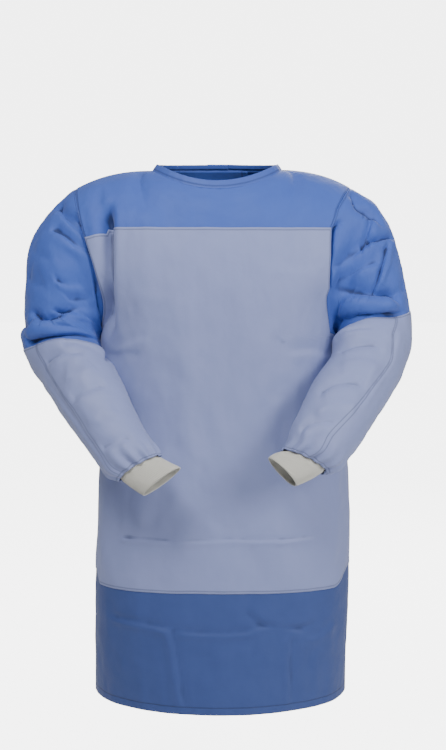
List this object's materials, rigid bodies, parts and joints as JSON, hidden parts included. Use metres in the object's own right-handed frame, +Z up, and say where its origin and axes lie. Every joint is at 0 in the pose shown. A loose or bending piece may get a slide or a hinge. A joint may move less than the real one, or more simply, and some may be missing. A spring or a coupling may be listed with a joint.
{
  "type": "surgical gown",
  "caption": "Long-sleeved surgical gown in its worn shape, with a reinforced front and forearms and knitted cuffs.",
  "frame": {"origin": "middle of the neck opening, at the height where the neck meets the shoulders", "axes": "+Z up the wearer's body, -Y to the front, +X to the wearer's left"},
  "size_m": [0.8359, 0.4819, 1.1446],
  "materials": {
    "blue_cloth": "matt nonwoven",
    "pale_reinforced_cloth": "matt laminated nonwoven",
    "white_knit": "rib knit",
    "blue_binding": "matt folded tape"
  },
  "bodies": {
    "root": {"front_yoke": "blue_cloth", "front_skirt": "blue_cloth", "back_left": "blue_cloth", "back_right": "blue_cloth", "sleeve_right_upper": "blue_cloth", "sleeve_left_upper": "blue_cloth", "neck_tab": "blue_cloth", "tie_left": "blue_cloth", "tie_right": "blue_cloth", "tie_knot": "blue_cloth", "tie_tail_left": "blue_cloth", "tie_tail_right": "blue_cloth", "front_panel": "pale_reinforced_cloth", "sleeve_right_lower": "pale_reinforced_cloth", "sleeve_left_lower": "pale_reinforced_cloth", "cuff_right": "white_knit", "cuff_left": "white_knit", "neck_binding": "blue_binding"}
  },
  "joints": []
}
